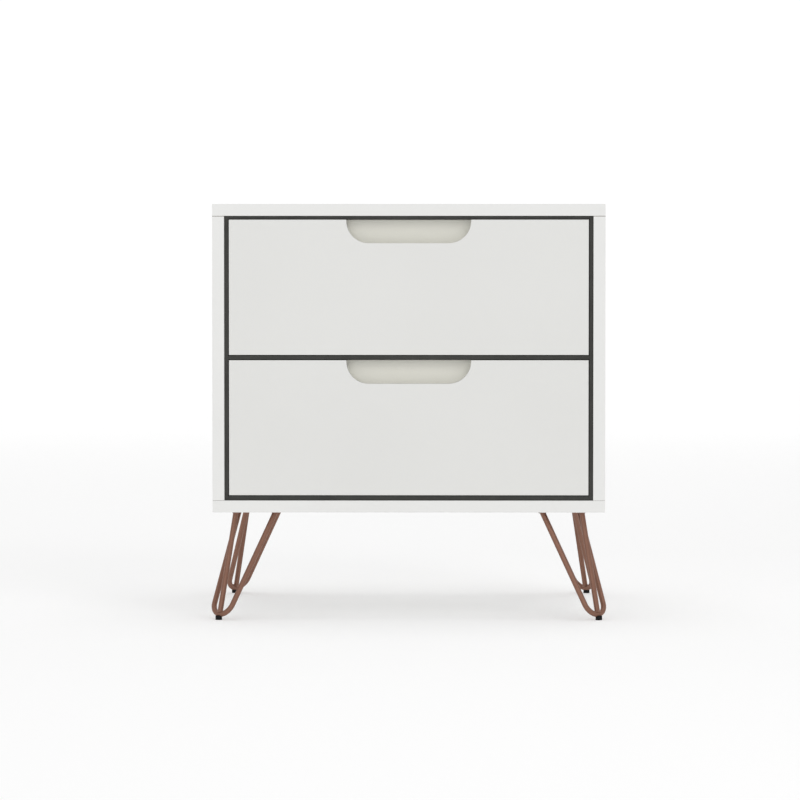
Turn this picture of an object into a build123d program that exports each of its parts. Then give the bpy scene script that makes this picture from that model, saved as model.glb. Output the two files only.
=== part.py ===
from build123d import *
from collections import namedtuple
from math import asin, atan2, copysign, cos, hypot, sin, tan
import os

# A two-drawer nightstand: a white lacquered board carcass on four hairpin legs, with a dark
# surround set round its two drawer fronts and a rounded finger notch in the top of each front.
# Millimetres. +Z is up and the drawers open towards -Y. The origin is on the floor, under the
# centre of the carcass.

# ---------------------------------------------------------------- driving dimensions
width = 510.0             # across the carcass
depth = 440.0             # from the front edges to the back of the back panel
carcass_height = 400.5    # from the underside of the bottom panel to the table top
leg_height = 140.5        # floor to the underside of the bottom panel

# boards
board = 15.5              # carcass boards
back_board = 3.0          # hardboard nailed on behind
back_inset = 2.0          # back panel edge to carcass edge
edge_ease = 0.3           # rounding along the edge of every lacquered board
moulded_ease = 0.5        # edges of the plastic rollers and glides

# dark surround of the two drawer openings
surround_setback = 2.0    # front edges of the carcass to the face of the surround
surround_depth = 20.0
stile_width = 5.2
top_rail_height = 3.5
top_rail_play = 0.4       # top of the surround to the top panel
middle_rail_height = 4.9
middle_rail_depth = 40.0
bottom_rail_height = 5.9

# drawer fronts
front_thickness = 15.5
front_setback = 1.0       # front edges of the carcass to the drawer faces
front_gap = 1.0           # all round each front, to the surround
notch_width = 162.0
notch_depth = 30.5
notch_corner = 29.0

# drawer boxes
box_board = 12.0
box_lift = 14.0           # bottom of the front to the bottom of the box sides
side_drop = 31.0          # top of the front to the top of the box sides
drawer_bottom_board = 3.0
bottom_lift = 10.0        # bottom of the box sides to the groove
groove_depth = 5.0
corner_screw_inset = 10.0 # from the rail below it, or from the top of the box side
front_screw_inset = 45.0  # from the inside of the box side
front_screw_rise = 18.0   # from the drawer bottom, or from the top of the box side
groove_play = 0.2         # the sheet in its groove, in thickness and at each end

# roller runners, one pair for each drawer
runner_gap = 12.7         # carcass side to drawer box
rail_steel = 1.2
tread_width = 3.0         # drawer rail's strip that rides on the front roller
tread_play = 0.8          # that strip to the flanges of the cabinet rail
roller_radius = 11.0
roller_play = 0.5         # roller to each flange of the cabinet rail
ride_gap = 0.3            # front roller to the drawer rail above it
side_play = 0.3           # roller faces to what is beside them
pin_radius = 2.5
pin_head_radius = 4.0
pin_head = 0.5
running_fit = 0.05        # roller bore over its pin, on the radius
hub_radius = 5.5
dish_radius = 9.0         # ring sunk into both faces of a roller, round its hub
dish_depth = 0.8
pin_inset = 15.0          # end of a rail to its roller pin
axle_lift = 13.5          # bottom of the box side to the roller pins
rail_screw_inset = 70.0   # end of a rail to its first screw
runner_step = 50.0        # runners and boxes come in lengths this far apart
rear_space = 20.0         # least room left between a box and the back panel

# hairpin legs, measured in from the two outer edges of their corner
rod_radius = 3.5
leg_plate = 1.5
foot_inset = 8.9          # lowest point of the bent rod
crown_inset = 56.5        # midway between the two tops of the bent rod
crown_half_spread = 35.2  # half the distance between those tops
bend_radius = 17.6
strut_top_inset = 29.3    # top of the straight rod at the corner
plate_edge_inset = 24.0
plate_length = 68.0
plate_tip = 20.0          # short end edges of the plate
plate_corner = 4.0
glide_inset = 7.6         # centre of the glide, which stands a little outside the bend
glide_radius = 4.3
glide_height = 3.8        # floor to the underside of the rod
glide_cup = 1.6           # how far the glide comes up round the rod
leg_screw_insets = [(44.0, 44.0), (62.0, 31.0), (31.0, 62.0), (60.0, 60.0)]

# fittings
fastener_clearance = 0.05
Screw = namedtuple("Screw", "head_radius head_sink shank_radius length")
short_screw = Screw(4.0, 2.0, 2.0, 14.0)
long_screw = Screw(4.0, 2.5, 2.0, 25.0)
confirmat = Screw(5.0, 3.0, 3.5, 50.0)
nail = Screw(2.4, 0.8, 0.8, 22.0)
drive_share = 0.55        # half length of a cross recess, as a share of the head's radius
drive_width = 1.0
drive_depth = 1.2
cam_radius = 7.5
cam_length = 12.0
cam_slot_width = 2.0
cam_slot_depth = 2.5
cam_drop = 34.0           # top end of the side panel to the cam's centre
cam_bolt_radius = 3.0
cam_bolt_bite = 11.0      # thread held in the top panel
cam_head_radius = 3.6
dowel_radius = 4.0
dowel_length = 30.0
dowel_bite = 10.0         # the part held in the top or the bottom panel
end_fitting_inset = 60.0  # front and back edges to the first cam or confirmat
dowel_step = 40.0         # from there to the dowel beside it
nails_across = 5
nails_up = 4

# ---------------------------------------------------------------- worked-out places
half_width = width / 2
half_depth = depth / 2
height = leg_height + carcass_height
inner_half = half_width - board
inner_height = carcass_height - 2 * board
inner_floor = leg_height + board
inner_ceiling = height - board

opening_half = inner_half - stile_width
front_width = 2 * (opening_half - front_gap)
rails_height = top_rail_height + middle_rail_height + bottom_rail_height
front_height = (inner_height - top_rail_play - rails_height - 4 * front_gap) / 2
surround_top = inner_ceiling - top_rail_play
lower_front_z = inner_floor + bottom_rail_height + front_gap
middle_rail_z = lower_front_z + front_height + front_gap
upper_front_z = middle_rail_z + middle_rail_height + front_gap
surround_face = -half_depth + surround_setback
drawer_face = -half_depth + front_setback
box_start = drawer_face + front_thickness
room_behind_front = half_depth - back_board - rear_space - box_start
box_length = runner_step * int(room_behind_front / runner_step)
box_end = box_start + box_length
box_side_height = front_height - box_lift - side_drop

box_half = inner_half - runner_gap
box_inner_half = box_half - box_board
rail_start = surround_face + surround_depth + side_play

foot_z = glide_height + rod_radius
plate_z = leg_height - leg_plate
drawers = {"upper": upper_front_z, "lower": lower_front_z}
sides = {"left": -1, "right": 1}
LOW = (Align.CENTER, Align.CENTER, Align.MIN)
HIGH = (Align.CENTER, Align.CENTER, Align.MAX)

# directions in which a fastener's head can look
LOOKS_DOWN = (180, 0, 0)
LOOKS_BACK = (-90, 0, 0)


def looks_sideways(sign):
    return (0, 90 * sign, 0)


def save(piece, name):
    """Labels a finished piece and writes it as its own file."""
    piece.part.label = name
    export_step(piece.part, f"parts/{name}.step")


def block(x_span, y_span, z_span, mode=Mode.ADD):
    """A box between two places along each axis."""
    spans = (x_span, y_span, z_span)
    middle = [(low + high) / 2 for low, high in spans]
    with Locations(tuple(middle)):
        Box(*[abs(high - low) for low, high in spans], mode=mode)


def ease(piece, radius=edge_ease):
    """Rounds every edge of the plain board made so far."""
    fillet(piece.edges(), radius=radius)


# ---------------------------------------------------------------- fasteners
def screws(places, kind, grow=0.0, mode=Mode.ADD):
    """Countersunk fasteners with their heads flush at the given places."""
    with Locations(*places):
        Cone(kind.shank_radius + grow, kind.head_radius + grow, kind.head_sink, align=HIGH, mode=mode)
        Cylinder(kind.shank_radius + grow, kind.length + grow, align=HIGH, mode=mode)


def screw_holes(places, kind):
    """The holes that such fasteners sit in."""
    screws(places, kind, grow=fastener_clearance, mode=Mode.SUBTRACT)


def cross(places, reach, slot, sink, align=HIGH):
    """A cross-shaped recess in the head at each place."""
    with Locations(*places):
        Box(2 * reach, slot, sink, align=align, mode=Mode.SUBTRACT)
        Box(slot, 2 * reach, sink, align=align, mode=Mode.SUBTRACT)


def driven_screws(places, kind):
    """Screws with a cross recess in each head for the driver."""
    screws(places, kind)
    cross(places, drive_share * kind.head_radius, drive_width, drive_depth)


def rods(places, radius, low, high, grow=0.0, mode=Mode.ADD):
    """Plain upright pegs, from low to high above each place."""
    with Locations(*[place + Vector(0, 0, low - grow) for place in places]):
        Cylinder(radius + grow, high - low + 2 * grow, align=LOW, mode=mode)


def side_centres(y_places):
    """Points over the middle of each side panel's thickness."""
    return [Vector(sign * (half_width - board / 2), y, 0) for sign in (-1, 1) for y in y_places]


fitting_front = -half_depth + end_fitting_inset
fitting_back = half_depth - back_board - end_fitting_inset
fitting_places = side_centres([fitting_front, fitting_back])
dowel_places = side_centres([fitting_front + dowel_step, fitting_back - dowel_step])
confirmat_places = [Location((p.X, p.Y, leg_height), LOOKS_DOWN) for p in fitting_places]
top_dowel_span = (inner_ceiling + dowel_bite - dowel_length, inner_ceiling + dowel_bite)
bottom_dowel_span = (inner_floor - dowel_bite, inner_floor - dowel_bite + dowel_length)
cam_z = inner_ceiling - cam_drop
cam_bolt_span = (cam_z, inner_ceiling + cam_bolt_bite)
cam_places = [
    Location((copysign(inner_half, p.X), p.Y, cam_z), looks_sideways(copysign(1, p.X)))
    for p in fitting_places
]


def nail_places():
    """One nail every so often round the back panel, into the middle of each board's edge."""
    x_edge = half_width - board / 2
    z_low = leg_height + board / 2
    z_high = height - board / 2
    across = [-x_edge + 2 * x_edge * (i + 1) / (nails_across + 1) for i in range(nails_across)]
    up = [z_low + (z_high - z_low) * (i + 0.5) / nails_up for i in range(nails_up)]
    spots = [(x, z) for x in across for z in (z_low, z_high)]
    spots += [(sign * x_edge, z) for sign in (-1, 1) for z in up]
    return [Location((x, half_depth, z), LOOKS_BACK) for x, z in spots]


# ---------------------------------------------------------------- roller runners
def axle_height(front_z):
    return front_z + box_lift + axle_lift


def gap_x(sign, out):
    """An x in the runner gap, measured from the carcass side towards the drawer."""
    return sign * (inner_half - out)


def runner_plane(sign, y, z):
    """Section plane of a rail: its x runs from the carcass side towards the drawer, its y is up."""
    return Plane(origin=(sign * inner_half, y, z), x_dir=(-sign, 0, 0), z_dir=(0, sign, 0))


def pin(sign, start, end, y, z, radius, mode=Mode.ADD):
    """A round bar across the runner gap."""
    with Locations(Location((gap_x(sign, (start + end) / 2), y, z), (0, 90, 0))):
        Cylinder(radius, end - start, mode=mode)


def strip(low, high):
    """A rectangle between two corners of a rail's section."""
    with Locations(((low[0] + high[0]) / 2, (low[1] + high[1]) / 2)):
        Rectangle(high[0] - low[0], high[1] - low[1])


rear_pin_y = box_end - pin_inset
front_pin_y = rail_start + pin_inset
channel_half = roller_radius + roller_play         # inside of the cabinet rail, from its axis
web_face = runner_gap - rail_steel                 # drawer rail's web, on its open side
tread_start = web_face - tread_width
rail_flange = tread_start - tread_play             # cabinet rail, out from the carcass side
tread_z = roller_radius + ride_gap
front_head_span = (web_face - side_play - pin_head, web_face - side_play)
front_roller_span = (rail_steel + side_play, front_head_span[0] - running_fit)
rear_head_span = (rail_steel + side_play, rail_steel + side_play + pin_head)
rear_roller_span = (rear_head_span[1] + running_fit, rail_flange)
rail_screw_ys = [rail_screw_inset, box_length / 2, box_length - rail_screw_inset]


def cabinet_rail_screws(sign, front_z):
    z = axle_height(front_z)
    x = gap_x(sign, rail_steel)
    return [Location((x, rail_start + y, z), looks_sideways(-sign)) for y in rail_screw_ys]


def drawer_rail_screws(sign, front_z):
    z = front_z + box_lift - rail_steel
    x = sign * (box_half - (box_board - groove_depth) / 2)
    return [Location((x, box_start + y, z), LOOKS_DOWN) for y in rail_screw_ys]


def cabinet_rail(sign, front_z):
    z = axle_height(front_z)
    outer = channel_half + rail_steel
    with BuildPart() as rail:
        with BuildSketch(runner_plane(sign, rail_start, z)):
            strip((0, -outer), (rail_steel, outer))
            strip((0, -outer), (rail_flange, -channel_half))
            strip((0, channel_half), (rail_flange, outer))
        extrude(amount=sign * box_length)
        pin(sign, 0, front_head_span[1], front_pin_y, z, pin_radius)
        pin(sign, *front_head_span, front_pin_y, z, pin_head_radius)
        screw_holes(cabinet_rail_screws(sign, front_z), short_screw)
    return rail


def drawer_rail(sign, front_z):
    z = axle_height(front_z)
    foot = -axle_lift - rail_steel
    with BuildPart() as rail:
        with BuildSketch(runner_plane(sign, box_start, z)):
            strip((web_face, foot), (runner_gap, tread_z + rail_steel))
            strip((web_face, foot), (runner_gap + box_board, foot + rail_steel))
            strip((tread_start, tread_z), (runner_gap, tread_z + rail_steel))
        extrude(amount=sign * box_length)
        pin(sign, rear_head_span[0], runner_gap, rear_pin_y, z, pin_radius)
        pin(sign, *rear_head_span, rear_pin_y, z, pin_head_radius)
        pin(sign, rail_flange + running_fit, web_face, rear_pin_y, z, pin_head_radius)
        screw_holes(drawer_rail_screws(sign, front_z), short_screw)
    return rail


def roller(sign, span, y, z):
    """A moulded wheel: bored hub, sunk web and full-width rim."""
    near_face = (span[0], span[0] + dish_depth)
    far_face = (span[1] - dish_depth, span[1])
    with BuildPart() as wheel:
        pin(sign, *span, y, z, roller_radius)
        chamfer(wheel.edges(), length=moulded_ease)
        for face_span in (near_face, far_face):
            pin(sign, *face_span, y, z, dish_radius, mode=Mode.SUBTRACT)
            pin(sign, *face_span, y, z, hub_radius)
        pin(sign, *span, y, z, pin_radius + running_fit, mode=Mode.SUBTRACT)
    return wheel


# ---------------------------------------------------------------- drawers
def box_corner_screws(front_z):
    """Through the box sides into the ends of the box front and back."""
    rail_top = axle_height(front_z) + tread_z + rail_steel
    side_top = front_z + front_height - side_drop
    zs = [rail_top + corner_screw_inset, side_top - corner_screw_inset]
    ys = [box_start + box_board / 2, box_end - box_board / 2]
    spots = [(sign, y, z) for sign in (-1, 1) for y in ys for z in zs]
    return [Location((sign * box_half, y, z), looks_sideways(sign)) for sign, y, z in spots]


def front_screws(front_z):
    """From inside the box, through its front board into the drawer front."""
    x_place = box_inner_half - front_screw_inset
    z_low = front_z + box_lift + bottom_lift + drawer_bottom_board + front_screw_rise
    z_high = front_z + front_height - side_drop - front_screw_rise
    y = box_start + box_board
    return [Location((x, y, z), LOOKS_BACK) for x in (-x_place, x_place) for z in (z_low, z_high)]


def bottom_groove(front_z, mode=Mode.SUBTRACT, play=groove_play):
    """The drawer bottom sheet, or with its play the groove that it slides into."""
    reach = box_inner_half + groove_depth - groove_play + play
    z = front_z + box_lift + bottom_lift
    y_low = box_start + box_board - groove_depth + groove_play - play
    span_z = (z - play / 2, z + drawer_bottom_board + play / 2)
    block((-reach, reach), (y_low, box_end + play), span_z, mode=mode)


def drawer_front(front_z):
    half = front_width / 2
    top = front_z + front_height
    with BuildPart() as front:
        block((-half, half), (drawer_face, box_start), (front_z, top))
        with BuildSketch(Plane((0, box_start, top), x_dir=(1, 0, 0), z_dir=(0, -1, 0))) as notch:
            Rectangle(notch_width, notch_depth, align=(Align.CENTER, Align.MAX))
            fillet(notch.vertices().group_by(Axis.Y)[0], radius=notch_corner)
        extrude(amount=front_thickness, mode=Mode.SUBTRACT)
        fillet(front.faces().sort_by(Axis.Y)[0].edges(), radius=edge_ease)
        screw_holes(front_screws(front_z), long_screw)
    return front


def box_front(front_z):
    low = front_z + box_lift
    with BuildPart() as board_piece:
        y_span = (box_start, box_start + box_board)
        block((-box_inner_half, box_inner_half), y_span, (low, front_z + front_height))
        bottom_groove(front_z)
        screw_holes(front_screws(front_z) + box_corner_screws(front_z), long_screw)
    return board_piece


def box_side(sign, front_z):
    low = front_z + box_lift
    with BuildPart() as board_piece:
        x_span = (sign * box_inner_half, sign * box_half)
        block(x_span, (box_start, box_end), (low, low + box_side_height))
        bottom_groove(front_z)
        screw_holes(box_corner_screws(front_z), long_screw)
        screw_holes(drawer_rail_screws(sign, front_z), short_screw)
    return board_piece


def box_back(front_z):
    low = front_z + box_lift + bottom_lift + drawer_bottom_board + groove_play
    high = front_z + box_lift + box_side_height
    with BuildPart() as board_piece:
        y_span = (box_end - box_board, box_end)
        block((-box_inner_half, box_inner_half), y_span, (low, high))
        screw_holes(box_corner_screws(front_z), long_screw)
    return board_piece


def drawer_bottom(front_z):
    with BuildPart() as sheet:
        bottom_groove(front_z, mode=Mode.ADD, play=0.0)
    return sheet


# ---------------------------------------------------------------- hairpin legs
def corner(x_sign, y_sign, x_inset, y_inset, z):
    """A point measured in from the two outer edges at one corner of the carcass."""
    return Vector(x_sign * (half_width - x_inset), y_sign * (half_depth - y_inset), z)


def leg_screw_places(x_sign, y_sign):
    spots = [corner(x_sign, y_sign, *insets, plate_z) for insets in leg_screw_insets]
    return [Location(tuple(spot), LOOKS_DOWN) for spot in spots]


def hairpin(x_sign, y_sign, grow=0.0, mode=Mode.ADD):
    """The bent rod: two straight runs that part as they rise, tangent to a bend at the foot."""
    foot = corner(x_sign, y_sign, foot_inset, foot_inset, foot_z)
    crown = corner(x_sign, y_sign, crown_inset, crown_inset, leg_height)
    across = Vector(x_sign, -y_sign, 0).normalized()
    rise = crown - foot
    plane = Plane(origin=foot, x_dir=across, z_dir=across.cross(rise))
    above_bend = rise.length - bend_radius
    reach = hypot(crown_half_spread, above_bend)
    lean = atan2(crown_half_spread, above_bend) - asin(bend_radius / reach)
    tangent_x = bend_radius * cos(lean)
    tangent_y = bend_radius * (1 - sin(lean))
    overshoot = rise.length + 2 * rod_radius
    top_x = tangent_x + (overshoot - tangent_y) * tan(lean)
    with BuildLine(plane) as path:
        Line((-top_x, overshoot), (-tangent_x, tangent_y))
        ThreePointArc((-tangent_x, tangent_y), (0, 0), (tangent_x, tangent_y))
        Line((tangent_x, tangent_y), (top_x, overshoot))
    with BuildSketch(Plane(origin=path.line @ 0, z_dir=path.line % 0)) as section:
        Circle(rod_radius + grow)
    sweep(section.sketch, path=path.line, mode=mode)


def leg_rods(x_sign, y_sign):
    """The bent rod with the straight corner rod welded into its bend, cut level under the plate."""
    with BuildPart() as leg:
        hairpin(x_sign, y_sign)
        foot = corner(x_sign, y_sign, foot_inset, foot_inset, foot_z)
        top = corner(x_sign, y_sign, strut_top_inset, strut_top_inset, leg_height)
        strut = top - foot
        along = strut.normalized()
        with BuildSketch(Plane(origin=foot + along * (rod_radius / 2), z_dir=along)):
            Circle(rod_radius)
        extrude(amount=strut.length + rod_radius)
        split(bisect_by=Plane.XY.offset(plate_z), keep=Keep.BOTTOM)
    return leg


def leg_plate_piece(x_sign, y_sign):
    near = plate_edge_inset
    far = plate_edge_inset + plate_length
    tip = plate_edge_inset + plate_tip
    insets = [(near, near), (far, near), (far, tip), (tip, far), (near, far)]
    outline = [corner(x_sign, y_sign, *inset, 0) for inset in insets]
    with BuildPart() as plate:
        with BuildSketch(Plane.XY.offset(plate_z)) as shape:
            with BuildLine():
                Polyline(*[(point.X, point.Y) for point in outline], close=True)
            make_face()
            fillet(shape.vertices(), radius=plate_corner)
        extrude(amount=leg_plate)
        screw_holes(leg_screw_places(x_sign, y_sign), short_screw)
    return plate


def leg_glide(x_sign, y_sign):
    with BuildPart() as glide:
        with Locations(corner(x_sign, y_sign, glide_inset, glide_inset, 0)):
            Cylinder(glide_radius, glide_height + glide_cup, align=LOW)
        hairpin(x_sign, y_sign, grow=fastener_clearance, mode=Mode.SUBTRACT)
        rounding = glide.edges().group_by(Axis.Z)[0]
        fillet(rounding, radius=moulded_ease)
    return glide


# ---------------------------------------------------------------- carcass
def carcass_board(x_span, z_span):
    """A plain lacquered board, as deep as the carcass, with its back edge drilled for nails."""
    with BuildPart() as piece:
        block(x_span, (-half_depth, half_depth - back_board), z_span)
        ease(piece)
        screw_holes(nail_places(), nail)
    return piece


def bar(x_span, y_span, z_span):
    with BuildPart() as piece:
        block(x_span, y_span, z_span)
        ease(piece)
    return piece


def cams(grow=0.0, mode=Mode.ADD):
    """Round cam locks let into the inner faces of the side panels."""
    with Locations(*cam_places):
        Cylinder(cam_radius + grow, cam_length + grow, align=LOW, mode=mode)


def cam_bolts(grow=0.0, mode=Mode.ADD):
    """Bolts that hang from the top panel, each with a round head inside its cam."""
    rods(fitting_places, cam_bolt_radius, *cam_bolt_span, grow=grow, mode=mode)
    head_span = (cam_z - cam_head_radius, cam_z + cam_head_radius)
    rods(fitting_places, cam_head_radius, *head_span, grow=grow, mode=mode)


def side_panel(sign):
    x_span = (sign * inner_half, sign * half_width)
    with BuildPart() as panel:
        add(carcass_board(x_span, (inner_floor, inner_ceiling)).part)
        cams(fastener_clearance, Mode.SUBTRACT)
        cam_bolts(fastener_clearance, Mode.SUBTRACT)
        rods(dowel_places, dowel_radius, *top_dowel_span, fastener_clearance, Mode.SUBTRACT)
        rods(dowel_places, dowel_radius, *bottom_dowel_span, fastener_clearance, Mode.SUBTRACT)
        screw_holes(confirmat_places, confirmat)
        for front_z in drawers.values():
            screw_holes(cabinet_rail_screws(sign, front_z), short_screw)
    return panel


os.makedirs("parts", exist_ok=True)

with BuildPart() as top_panel:
    add(carcass_board((-half_width, half_width), (inner_ceiling, height)).part)
    cam_bolts(fastener_clearance, Mode.SUBTRACT)
    rods(dowel_places, dowel_radius, *top_dowel_span, fastener_clearance, Mode.SUBTRACT)
save(top_panel, "top_panel")

leg_corners = [(x_sign, y_sign) for y_sign in (-1, 1) for x_sign in (-1, 1)]
all_leg_screws = [place for corner_signs in leg_corners for place in leg_screw_places(*corner_signs)]

with BuildPart() as bottom_panel:
    add(carcass_board((-half_width, half_width), (leg_height, inner_floor)).part)
    rods(dowel_places, dowel_radius, *bottom_dowel_span, fastener_clearance, Mode.SUBTRACT)
    screw_holes(confirmat_places, confirmat)
    screw_holes(all_leg_screws, short_screw)
save(bottom_panel, "bottom_panel")

for side, sign in sides.items():
    save(side_panel(sign), f"{side}_side_panel")

with BuildPart() as back_panel:
    x_edge = half_width - back_inset
    y_span = (half_depth - back_board, half_depth)
    block((-x_edge, x_edge), y_span, (leg_height + back_inset, height - back_inset))
    screw_holes(nail_places(), nail)
save(back_panel, "back_panel")

with BuildPart() as back_panel_nails:
    screws(nail_places(), nail)
save(back_panel_nails, "back_panel_nails")

with BuildPart() as cam_bolt_set:
    cam_bolts()
save(cam_bolt_set, "cam_bolts")

with BuildPart() as cam_lock_set:
    cams()
    cam_bolts(fastener_clearance, Mode.SUBTRACT)
    cross(cam_places, drive_share * cam_radius, cam_slot_width, cam_slot_depth, align=LOW)
save(cam_lock_set, "cam_locks")

with BuildPart() as dowel_set:
    rods(dowel_places, dowel_radius, *top_dowel_span)
    rods(dowel_places, dowel_radius, *bottom_dowel_span)
save(dowel_set, "dowels")

with BuildPart() as confirmat_set:
    driven_screws(confirmat_places, confirmat)
save(confirmat_set, "carcass_screws")

# ---------------------------------------------------------------- dark surround
surround_span = (surround_face, surround_face + surround_depth)
for side, sign in sides.items():
    x_span = (sign * opening_half, sign * inner_half)
    save(bar(x_span, surround_span, (inner_floor, surround_top)), f"{side}_stile")

between_stiles = (-opening_half, opening_half)
middle_span = (surround_face, surround_face + middle_rail_depth)
rail_spans = {
    "top_rail": (surround_span, (surround_top - top_rail_height, surround_top)),
    "middle_rail": (middle_span, (middle_rail_z, middle_rail_z + middle_rail_height)),
    "bottom_rail": (surround_span, (inner_floor, inner_floor + bottom_rail_height)),
}
for name, (y_span, z_span) in rail_spans.items():
    save(bar(between_stiles, y_span, z_span), name)

# ---------------------------------------------------------------- drawers and their runners
for level, front_z in drawers.items():
    save(drawer_front(front_z), f"{level}_drawer_front")
    save(box_front(front_z), f"{level}_box_front")
    save(box_back(front_z), f"{level}_box_back")
    save(drawer_bottom(front_z), f"{level}_drawer_bottom")
    with BuildPart() as box_screws:
        driven_screws(front_screws(front_z) + box_corner_screws(front_z), long_screw)
    save(box_screws, f"{level}_box_screws")
    with BuildPart() as rail_screws:
        for sign in sides.values():
            driven_screws(drawer_rail_screws(sign, front_z), short_screw)
    save(rail_screws, f"{level}_drawer_rail_screws")
    z = axle_height(front_z)
    for side, sign in sides.items():
        save(box_side(sign, front_z), f"{level}_{side}_box_side")
        save(cabinet_rail(sign, front_z), f"{level}_{side}_cabinet_rail")
        save(drawer_rail(sign, front_z), f"{level}_{side}_drawer_rail")
        save(roller(sign, front_roller_span, front_pin_y, z), f"{level}_{side}_front_roller")
        save(roller(sign, rear_roller_span, rear_pin_y, z), f"{level}_{side}_rear_roller")

# ---------------------------------------------------------------- legs
for x_sign, y_sign in leg_corners:
    end = "front" if y_sign < 0 else "rear"
    side = "left" if x_sign < 0 else "right"
    save(leg_rods(x_sign, y_sign), f"{end}_{side}_leg_rods")
    save(leg_plate_piece(x_sign, y_sign), f"{end}_{side}_leg_plate")
    save(leg_glide(x_sign, y_sign), f"{end}_{side}_glide")

with BuildPart() as fixed_screws:
    driven_screws(all_leg_screws, short_screw)
    for front_z in drawers.values():
        for sign in sides.values():
            driven_screws(cabinet_rail_screws(sign, front_z), short_screw)
save(fixed_screws, "leg_and_rail_screws")
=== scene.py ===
# %% [markdown]
# # A white nightstand on hairpin legs
# The nightstand is already designed: every board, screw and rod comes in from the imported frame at
# its real size, in metres, standing on z = 0 with its drawers facing -Y. This script gives the
# pieces their finishes and adds what a drawing leaves out, such as weld beads. It is read from top
# to bottom, one cell at a time.

# %% load the frame
import math

import bmesh
import bpy
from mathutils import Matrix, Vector


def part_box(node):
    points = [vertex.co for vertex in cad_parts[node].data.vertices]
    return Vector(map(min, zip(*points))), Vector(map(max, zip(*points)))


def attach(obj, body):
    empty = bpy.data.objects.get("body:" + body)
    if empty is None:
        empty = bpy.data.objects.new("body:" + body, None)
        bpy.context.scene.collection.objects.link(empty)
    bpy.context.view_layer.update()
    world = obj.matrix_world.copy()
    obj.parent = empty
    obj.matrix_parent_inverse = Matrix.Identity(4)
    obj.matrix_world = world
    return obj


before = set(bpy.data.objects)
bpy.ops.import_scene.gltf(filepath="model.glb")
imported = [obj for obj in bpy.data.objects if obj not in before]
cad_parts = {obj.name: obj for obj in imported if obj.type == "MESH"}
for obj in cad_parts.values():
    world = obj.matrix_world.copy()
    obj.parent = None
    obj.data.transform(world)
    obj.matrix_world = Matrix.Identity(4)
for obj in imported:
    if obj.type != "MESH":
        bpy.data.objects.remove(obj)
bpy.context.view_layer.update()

# %% [markdown]
# ## Where the viewer stands
# Furniture is shot from far away with a long lens, so that its upright edges stay upright and the
# boards look as thick as they are. The camera stands five metres off, a little to the right of the
# middle and a little under the table top, and looks slightly down at the lower drawer.

# %% camera
def deselect():
    bpy.ops.object.select_all(action="DESELECT")


front_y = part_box("top_panel")[0].y
EYE = Vector((0.0333, front_y - 5.19, 0.4673))
AIM = Vector((-0.0113, front_y, 0.28675))
LENS_MM = 180.1

deselect()
bpy.ops.object.camera_add(location=EYE, rotation=(AIM - EYE).to_track_quat("-Z", "Y").to_euler())
camera = bpy.context.object
camera.name = "camera"
camera.data.lens = LENS_MM
camera.data.sensor_width = 36.0
camera.data.clip_end = 60.0
bpy.context.scene.camera = camera
bpy.context.scene.view_settings.view_transform = "Standard"
print("camera:", round((AIM - EYE).length, 2), "m from the drawers")

# %% [markdown]
# ## Finishes: a few small helpers
# Every finish here is a Principled shader with a little procedural variation on Object coordinates.
# The pieces never leave their places in the mesh, so a pattern in Object coordinates is a pattern in
# real metres: a noise scale of 1000 has features about a millimetre across.

# %% material helpers
def socket_name(words):
    """specular_ior_level names the shader's socket Specular IOR Level."""
    return words.replace("_", " ").title().replace("Ior", "IOR")


def new_finish(name, colour, roughness, **constants):
    """A material with one Principled shader whose constants are set on its own sockets."""
    material = bpy.data.materials.new(name)
    material.use_nodes = True
    shader = material.node_tree.nodes["Principled BSDF"]
    shader.inputs["Base Color"].default_value = (*colour, 1)
    shader.inputs["Roughness"].default_value = roughness
    for socket, value in constants.items():
        shader.inputs[socket_name(socket)].default_value = value
    return material


def add_node(material, kind, **settings):
    node = material.node_tree.nodes.new(kind)
    for key, value in settings.items():
        setattr(node, key, value)
    return node


def join(material, source, target):
    material.node_tree.links.new(source, target)


def stretched_position(material, stretch):
    """Object coordinates, squeezed along each axis by the three numbers of stretch."""
    place = add_node(material, "ShaderNodeTexCoord")
    mapping = add_node(material, "ShaderNodeMapping")
    mapping.inputs["Scale"].default_value = stretch
    join(material, place.outputs["Object"], mapping.inputs["Vector"])
    return mapping.outputs["Vector"]


def noise(material, scale, detail=2.0, stretch=(1, 1, 1)):
    texture = add_node(material, "ShaderNodeTexNoise")
    texture.inputs["Scale"].default_value = scale
    texture.inputs["Detail"].default_value = detail
    join(material, stretched_position(material, stretch), texture.inputs["Vector"])
    return texture.outputs["Fac"]


def ramp(material, value, low, high, start=0.35, end=0.65):
    """A colour that goes from low to high while the value goes from start to end."""
    node = add_node(material, "ShaderNodeValToRGB")
    for element, place, colour in zip(node.color_ramp.elements, (start, end), (low, high)):
        element.position = place
        element.color = (*colour, 1)
    join(material, value, node.inputs["Fac"])
    return node.outputs["Color"]


def spread(material, value, low, high):
    """A noise value spread over the numbers from low to high."""
    node = add_node(material, "ShaderNodeMapRange")
    node.inputs["From Min"].default_value = 0.3
    node.inputs["From Max"].default_value = 0.7
    node.inputs["To Min"].default_value = low
    node.inputs["To Max"].default_value = high
    join(material, value, node.inputs["Value"])
    return node.outputs["Result"]


def bump(material, height, distance, strength=1.0, under=None):
    """Adds relief of the given depth in metres, on top of the relief under it."""
    node = add_node(material, "ShaderNodeBump")
    node.inputs["Strength"].default_value = strength
    node.inputs["Distance"].default_value = distance
    join(material, height, node.inputs["Height"])
    if under is not None:
        join(material, under, node.inputs["Normal"])
    return node.outputs["Normal"]


def wire(material, **sockets):
    """Links outputs to sockets of the Principled shader."""
    shader = material.node_tree.nodes["Principled BSDF"]
    for socket, output in sockets.items():
        join(material, output, shader.inputs[socket_name(socket)])


def tinted(colour, factor):
    return tuple(channel * factor for channel in colour)


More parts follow.
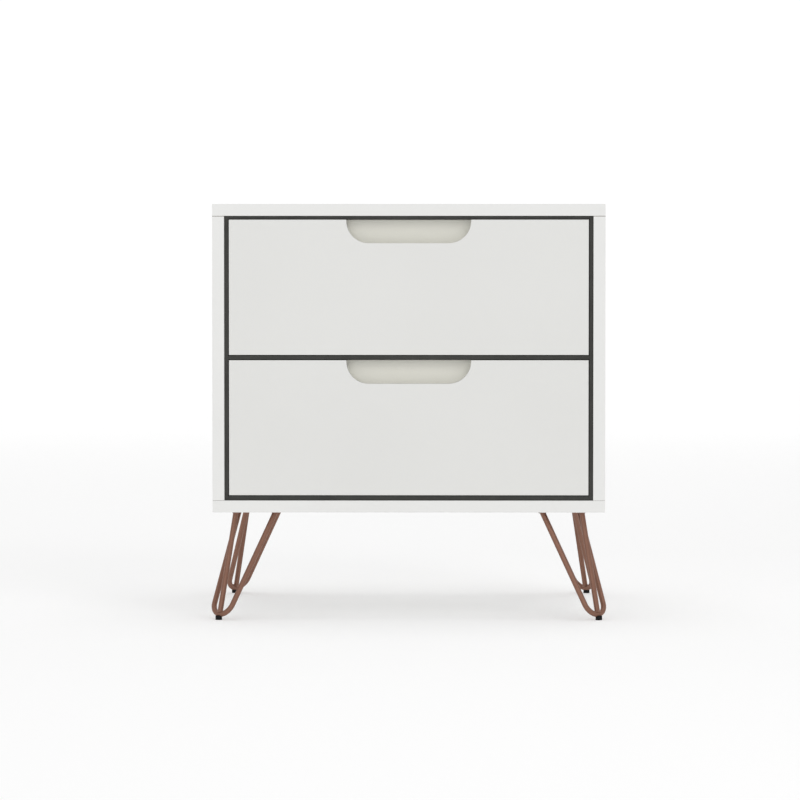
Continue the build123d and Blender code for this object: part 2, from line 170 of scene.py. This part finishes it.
def paint(material, *names):
    """Gives CAD nodes or new pieces their finish."""
    for name in names:
        mesh = bpy.data.objects[name].data
        mesh.materials.clear()
        mesh.materials.append(material)
    print(material.name, "on", len(names), "pieces")


# %% [markdown]
# ## White lacquer
# The boards are sprayed with a satin white lacquer. Sprayed lacquer is never quite flat: it dries in
# a fine orange peel, a tenth of a millimetre wide, and it shines a little more in some places than
# in others. The drawer fronts get the same lacquer a touch rougher, in a slightly darker, greyer white.
#
# The boards are sprayed before they are put together, so the lacquer stops at each joint and a
# hairline of bare board shows there, with painted shade for the shadow in the groove between boards.
# The boards themselves touch, so the hairline is only painted, by height and on the side panels' own
# width. It is 0.7 mm wide, half a millimetre under the top joint, and 0.3 mm wide at the bottom one.

# %% white lacquer
def arithmetic(material, operation, value, *numbers):
    """One step of arithmetic on a value."""
    node = add_node(material, "ShaderNodeMath", operation=operation)
    join(material, value, node.inputs[0])
    for place, number in enumerate(numbers, start=1):
        if isinstance(number, float):
            node.inputs[place].default_value = number
        else:
            join(material, number, node.inputs[place])
    return node.outputs["Value"]


def hairlines(material, colour, joints, beyond):
    """Darkens a colour in thin bands at the given heights, only where |x| is over the last number."""
    place = add_node(material, "ShaderNodeSeparateXYZ")
    join(material, stretched_position(material, (1, 1, 1)), place.inputs["Vector"])
    off_centre = arithmetic(material, "ABSOLUTE", place.outputs["X"])
    over_panel = arithmetic(material, "GREATER_THAN", off_centre, beyond)
    for middle, half_band in joints:
        band = arithmetic(material, "COMPARE", place.outputs["Z"], middle, half_band)
        mix = add_node(material, "ShaderNodeMix", data_type="RGBA")
        mix.inputs["B"].default_value = (*BARE_BOARD_AND_SHADE, 1)
        join(material, arithmetic(material, "MULTIPLY", band, over_panel), mix.inputs["Factor"])
        join(material, colour, mix.inputs["A"])
        colour = mix.outputs["Result"]
    return colour


def lacquer(name, colour, roughness, joints=(), beyond=0.0):
    material = new_finish(name, colour, roughness, specular_ior_level=0.45)
    clouds = noise(material, 5.0)
    cloudy = ramp(material, clouds, tinted(colour, 0.985), colour)
    wire(material, base_color=hairlines(material, cloudy, joints, beyond))
    wire(material, roughness=spread(material, noise(material, 18.0), roughness - 0.04, roughness + 0.04))
    peel = bump(material, noise(material, 700.0, detail=1.0), 0.00004, 0.35)
    wire(material, normal=bump(material, noise(material, 60.0, detail=1.0), 0.00008, 0.25, under=peel))
    return material


CARCASS_WHITE = (0.83, 0.83, 0.815)
FRONT_WHITE = (0.775, 0.775, 0.755)
# The hairline colour is bare board, made dark enough to also be painted shade for the joint groove.
BARE_BOARD_AND_SHADE = (0.16, 0.14, 0.11)
left_low, left_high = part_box("left_side_panel")
LINE_BELOW_TOP_JOINT = 0.0005
TOP_LINE_HALF_WIDTH = 0.00034
BOTTOM_LINE_HALF_WIDTH = 0.00016
CLEAR_OF_THE_OPENING = 0.0001
joint_bands = [(left_high.z - LINE_BELOW_TOP_JOINT, TOP_LINE_HALF_WIDTH),
               (left_low.z, BOTTOM_LINE_HALF_WIDTH)]
carcass_lacquer = lacquer("carcass lacquer", CARCASS_WHITE, 0.42, joint_bands,
                          -left_high.x + CLEAR_OF_THE_OPENING)
front_lacquer = lacquer("drawer front lacquer", FRONT_WHITE, 0.46)
paint(carcass_lacquer, "top_panel", "bottom_panel", "left_side_panel", "right_side_panel")
paint(front_lacquer, "upper_drawer_front", "lower_drawer_front")

# %% [markdown]
# ## The dark surround
# The thin bars round the drawers are lacquered in a matt dark grey, which hides the gaps beside the
# drawers. A matt lacquer scatters light from fine grains of matting powder. Nothing is painted at
# the edges of the bars: the black line above the top bar is the real play left there.

# %% dark surround
DARK_GREY = (0.046, 0.046, 0.042)
surround_lacquer = new_finish("surround lacquer", DARK_GREY, 0.66, specular_ior_level=0.25)
wire(surround_lacquer, base_color=ramp(surround_lacquer, noise(surround_lacquer, 40.0),
                                       tinted(DARK_GREY, 0.9), tinted(DARK_GREY, 1.1)))
wire(surround_lacquer, normal=bump(surround_lacquer, noise(surround_lacquer, 2500.0), 0.00003, 0.4))
paint(surround_lacquer, "left_stile", "right_stile", "top_rail", "middle_rail", "bottom_rail")

# %% [markdown]
# ## Drawer boxes, drawer bottoms and the back
# The boxes are of melamine-faced board: white, hard, with a very fine embossed grain along the
# board. Their white is darker and creamier than the lacquer: painted shade and painted warm bounce
# light, as seen in the handle notches. The sheets are hardboard, smooth and white on one face, with a
# weave of wood fibre showing faintly through.

# %% melamine and hardboard
def melamine(name, colour):
    material = new_finish(name, colour, 0.5, specular_ior_level=0.4)
    grain = noise(material, 600.0, detail=4.0, stretch=(1, 0.05, 1))
    wire(material, base_color=ramp(material, grain, tinted(colour, 0.985), colour))
    wire(material, normal=bump(material, grain, 0.00005, 0.3))
    return material


def hardboard(name, colour):
    material = new_finish(name, colour, 0.6, specular_ior_level=0.35)
    fibre = noise(material, 420.0, detail=6.0)
    wire(material, base_color=ramp(material, fibre, tinted(colour, 0.93), colour))
    wire(material, normal=bump(material, fibre, 0.00006, 0.35))
    return material


# The box white is darker and creamier than the lacquers: painted shade and warm bounce of the handle
# notches.
BOX_WHITE_WITH_PAINTED_SHADE = (0.80, 0.79, 0.715)
SHEET_WHITE = (0.74, 0.73, 0.70)
box_melamine = melamine("box melamine", BOX_WHITE_WITH_PAINTED_SHADE)
sheet_hardboard = hardboard("white hardboard", SHEET_WHITE)
levels = ("upper", "lower")
hands = ("left", "right")
box_fronts = [f"{level}_box_front" for level in levels]
box_walls = [f"{level}_box_back" for level in levels]
box_walls += [f"{level}_{hand}_box_side" for level in levels for hand in hands]
paint(box_melamine, *box_fronts, *box_walls)
paint(sheet_hardboard, "back_panel", *[f"{level}_drawer_bottom" for level in levels])

# %% [markdown]
# ## Runners and rollers
# Roller runners are folded from thin steel and powder coated in cream white. Powder melts into a
# coarser orange peel than lacquer does. The rollers are unfilled nylon, which lets a little light in.

# %% runners
def powder_coat(name, colour, roughness):
    material = new_finish(name, colour, roughness, specular_ior_level=0.5)
    wire(material, normal=bump(material, noise(material, 900.0, detail=1.5), 0.00008, 0.5))
    wire(material, base_color=ramp(material, noise(material, 30.0), tinted(colour, 0.97), colour))
    return material


RUNNER_CREAM = (0.78, 0.77, 0.72)
NYLON = (0.72, 0.71, 0.66)
runner_coat = powder_coat("runner powder coat", RUNNER_CREAM, 0.35)
roller_nylon = new_finish("roller nylon", NYLON, 0.4, subsurface_weight=0.15, subsurface_scale=0.002)
wire(roller_nylon, roughness=spread(roller_nylon, noise(roller_nylon, 300.0), 0.34, 0.48))
runner_rails = [f"{level}_{hand}_{owner}_rail"
                for level in levels for hand in hands for owner in ("cabinet", "drawer")]
rollers = [f"{level}_{hand}_{end}_roller"
           for level in levels for hand in hands for end in ("front", "rear")]
paint(runner_coat, *runner_rails)
paint(roller_nylon, *rollers)

# %% [markdown]
# ## Fittings
# Screws, nails, cams and bolts are zinc plated: bright, slightly blue, and a little streaky where
# the plating bath left its mark. Dowels are plain beech with its grain along the peg.

# %% fittings
ZINC = (0.62, 0.63, 0.65)
BEECH = (0.60, 0.42, 0.25)
zinc = new_finish("zinc plate", ZINC, 0.32, metallic=1.0)
wire(zinc, roughness=spread(zinc, noise(zinc, 600.0, detail=4.0), 0.24, 0.42))
wire(zinc, base_color=ramp(zinc, noise(zinc, 180.0), tinted(ZINC, 0.85), ZINC))
beech = new_finish("beech", BEECH, 0.6)
wire(beech, base_color=ramp(beech, noise(beech, 900.0, stretch=(1, 1, 0.08)), tinted(BEECH, 0.8), BEECH))
fittings = ["cam_bolts", "cam_locks", "carcass_screws", "back_panel_nails", "leg_and_rail_screws"]
fittings += [f"{level}_{kind}" for level in levels for kind in ("box_screws", "drawer_rail_screws")]
paint(zinc, *fittings)
paint(beech, "dowels")

# %% [markdown]
# ## Copper-coloured legs
# The legs are steel rod with a satin rose-copper coating. It isn't polished copper: the coating is
# half pigment and half metal flake, so it keeps its brown-pink colour even where the room round it
# is white, and only its highlights run along the rod.

# %% leg coating
COPPER = (0.25, 0.126, 0.086)
corners = [f"{end}_{hand}" for end in ("front", "rear") for hand in hands]
copper = new_finish("rose copper coating", COPPER, 0.42, metallic=0.55, specular_ior_level=0.5)
flake = noise(copper, 5200.0, detail=2.0)
wire(copper, base_color=ramp(copper, flake, tinted(COPPER, 0.86), tinted(COPPER, 1.12)))
wire(copper, roughness=spread(copper, noise(copper, 220.0, detail=3.0), 0.34, 0.5))
wire(copper, normal=bump(copper, noise(copper, 2600.0), 0.00003, 0.3))
leg_steel = [f"{corner}_leg_{piece}" for piece in ("rods", "plate") for corner in corners]
paint(copper, *leg_steel)

RUBBER = (0.008, 0.008, 0.008)
rubber = new_finish("glide rubber", RUBBER, 0.75, specular_ior_level=0.2)
wire(rubber, normal=bump(rubber, noise(rubber, 1500.0), 0.00005, 0.5))
paint(rubber, *[f"{corner}_glide" for corner in corners])

# %% [markdown]
# ## Weld beads
# Each leg is welded before it is coated. Three rods meet the plate and one of them ends in the bend,
# and every one of those joints has a bead round it, about as wide as a third of the rod. A drawing
# shows plain rods that just touch. A bead is made here as a small circle that is spun round the
# rod's axis, then roughened a little, because molten metal freezes in uneven ripples. A rod that
# leans cuts the plate in an ellipse, so its ring is stretched the way the rod leans.

# %% weld beads
def settle(piece):
    """Puts a finished piece's place into its mesh, with its object at the origin."""
    deselect()
    piece.select_set(True)
    bpy.context.view_layer.objects.active = piece
    bpy.ops.object.transform_apply(location=True, rotation=True, scale=True)
    return piece


def bead(radius, thickness, seed):
    """A rough ring lying flat round the origin."""
    deselect()
    bpy.ops.mesh.primitive_circle_add(vertices=8, radius=thickness, location=(radius, 0, 0),
                                      rotation=(math.pi / 2, 0, 0))
    ring = bpy.context.object
    bpy.ops.object.mode_set(mode="EDIT")
    bpy.ops.mesh.select_all(action="SELECT")
    bpy.ops.mesh.spin(steps=26, angle=2 * math.pi, center=(0, 0, 0), axis=(0, 0, 1))
    bpy.ops.mesh.select_all(action="SELECT")
    bpy.ops.mesh.remove_doubles(threshold=0.00001)
    bpy.ops.transform.vertex_random(offset=thickness * 0.22, seed=seed)
    bpy.ops.mesh.normals_make_consistent(inside=False)
    bpy.ops.object.mode_set(mode="OBJECT")
    smoother = ring.modifiers.new("smoother", "SUBSURF")
    smoother.levels = 1
    bpy.ops.object.modifier_apply(modifier=smoother.name)
    bpy.ops.object.shade_smooth()
    return settle(ring)


def rod_tops(corner):
    """The middle of each rod's cut top, found by gathering the topmost corners of the rods' mesh."""
    points = [vertex.co for vertex in bpy.data.objects[f"{corner}_leg_rods"].data.vertices]
    highest = max(point.z for point in points)
    groups = []
    for point in [p for p in points if highest - p.z < 0.00005]:
        near = [group for group in groups if (group[0] - point).length < SAME_ROD]
        if near:
            near[0].append(point)
        else:
            groups.append([point])
    tops = []
    for group in groups:
        low = Vector([min(point[axis] for point in group) for axis in range(3)])
        high = Vector([max(point[axis] for point in group) for axis in range(3)])
        tops.append((low + high) / 2)
    return tops


def foot_of(corner):
    """The middle of the rod at the bottom of the bend."""
    points = [vertex.co for vertex in bpy.data.objects[f"{corner}_leg_rods"].data.vertices]
    lowest = min(points, key=lambda point: point.z)
    return lowest + Vector((0, 0, ROD_RADIUS))


ROD_RADIUS = 0.0035
SAME_ROD = 2.6 * ROD_RADIUS
BEAD = 0.0012
weld_coat = powder_coat("coated weld", COPPER, 0.45)
for corner in corners:
    foot = foot_of(corner)
    tops = rod_tops(corner)
    outward = Vector((foot.x, foot.y, 0)).normalized()
    strut_top = max(tops, key=lambda top: top.dot(outward))
    parts = []
    for number, top in enumerate(tops):
        lean = top - foot
        ring = bead(ROD_RADIUS, BEAD, seed=number + 1)
        ring.scale = (lean.length / lean.z, 1, 1)
        ring.rotation_euler = (0, 0, math.atan2(lean.y, lean.x))
        ring.location = top - Vector((0, 0, BEAD * 0.3))
        parts.append(settle(ring))
    up_strut = (strut_top - foot).normalized()
    ring = bead(ROD_RADIUS, BEAD, seed=9)
    ring.rotation_euler = up_strut.to_track_quat("Z", "Y").to_euler()
    ring.location = foot + up_strut * (ROD_RADIUS + BEAD * 0.2)
    parts.append(settle(ring))
    deselect()
    for part in parts:
        part.select_set(True)
    bpy.context.view_layer.objects.active = parts[0]
    bpy.ops.object.join()
    welds = bpy.context.object
    welds.name = f"{corner}_welds"
    welds.data.name = welds.name
    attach(welds, "cabinet")
    paint(weld_coat, welds.name)
    print(welds.name, len(tops), "rod tops,", len(welds.data.polygons), "faces")

# %% [markdown]
# ## Floor and backdrop
# A sweep of white board: the floor runs eight metres back and then curves up into a wall, so there
# is no corner to see. It is modelled as a plane whose far edge is extruded up and whose crease is
# bevelled into a cove. The board glows faintly, and more towards the wall. The glow keeps the shadow
# under the nightstand pale and the wall pure white, which lamps alone would only do by bleaching
# the furniture too.

# %% floor
def select_edges(mesh_object, wanted):
    """In edit mode, selects just the edges for which wanted(edge middle) holds."""
    bpy.ops.mesh.select_mode(type="EDGE")
    bpy.ops.mesh.select_all(action="DESELECT")
    cage = bmesh.from_edit_mesh(mesh_object.data)
    for edge in cage.edges:
        edge.select_set(wanted((edge.verts[0].co + edge.verts[1].co) / 2))
    cage.select_flush_mode()
    bmesh.update_edit_mesh(mesh_object.data)


FLOOR_WIDTH = 24.0
FLOOR_NEAR = -9.0
FLOOR_FAR = 8.0
WALL_HEIGHT = 9.0
COVE = 2.5
deselect()
bpy.ops.mesh.primitive_plane_add(size=1, location=(0, (FLOOR_NEAR + FLOOR_FAR) / 2, 0))
floor = bpy.context.object
floor.name = "floor"
floor.scale = (FLOOR_WIDTH, FLOOR_FAR - FLOOR_NEAR, 1)
settle(floor)
bpy.ops.object.mode_set(mode="EDIT")
select_edges(floor, lambda middle: abs(middle.y - FLOOR_FAR) < 0.01)
bpy.ops.mesh.extrude_region_move(TRANSFORM_OT_translate={"value": (0, 0, WALL_HEIGHT)})
select_edges(floor, lambda middle: abs(middle.y - FLOOR_FAR) < 0.01 and abs(middle.z) < 0.01)
bpy.ops.mesh.bevel(offset=COVE, segments=24, affect="EDGES")
bpy.ops.object.mode_set(mode="OBJECT")
bpy.ops.object.shade_smooth()

STUDIO_WHITE = (0.73, 0.73, 0.73)
GLOW_NEAR = 0.265
GLOW_FAR = 0.45
GLOW_START = 1.0
studio_board = new_finish("studio board", STUDIO_WHITE, 0.9, specular_ior_level=0.0,
                          emission_color=(1, 1, 1, 1))
spot = add_node(studio_board, "ShaderNodeSeparateXYZ")
join(studio_board, stretched_position(studio_board, (1, 1, 1)), spot.inputs["Vector"])
glow = add_node(studio_board, "ShaderNodeMapRange")
glow.inputs["From Min"].default_value = GLOW_START
glow.inputs["From Max"].default_value = FLOOR_FAR
glow.inputs["To Min"].default_value = GLOW_NEAR
glow.inputs["To Max"].default_value = GLOW_FAR
join(studio_board, spot.outputs["Y"], glow.inputs["Value"])
wire(studio_board, emission_strength=glow.outputs["Result"])
paint(studio_board, "floor")

# %% [markdown]
# ## Studio light
# One broad softbox stands high on the right in front and shapes the pieces. A second one, low on
# the left beside the viewer, fills the shadows it makes. The biggest hangs overhead, and lays the
# soft shadow on the floor under the carcass. A white sky does the rest.

# %% lights
def softbox(name, place, target, width, watts):
    deselect()
    direction = Vector(target) - Vector(place)
    bpy.ops.object.light_add(type="AREA", location=place,
                             rotation=direction.to_track_quat("-Z", "Y").to_euler())
    light = bpy.context.object
    light.name = name
    light.data.shape = "SQUARE"
    light.data.size = width
    light.data.energy = watts
    print(name, round(direction.length, 2), "m away")


middle_of_carcass = (0, 0, 0.34)
softbox("key softbox", (1.8, -3.6, 3.0), middle_of_carcass, 1.6, 26)
softbox("fill softbox", (-1.8, -5.0, 1.2), middle_of_carcass, 2.0, 20)
softbox("top softbox", (0, 0.3, 4.2), middle_of_carcass, 2.8, 28)

world = bpy.data.worlds.new("white studio")
bpy.context.scene.world = world
world.use_nodes = True
world.node_tree.nodes["Background"].inputs["Color"].default_value = (1, 1, 1, 1)
world.node_tree.nodes["Background"].inputs["Strength"].default_value = 0.7
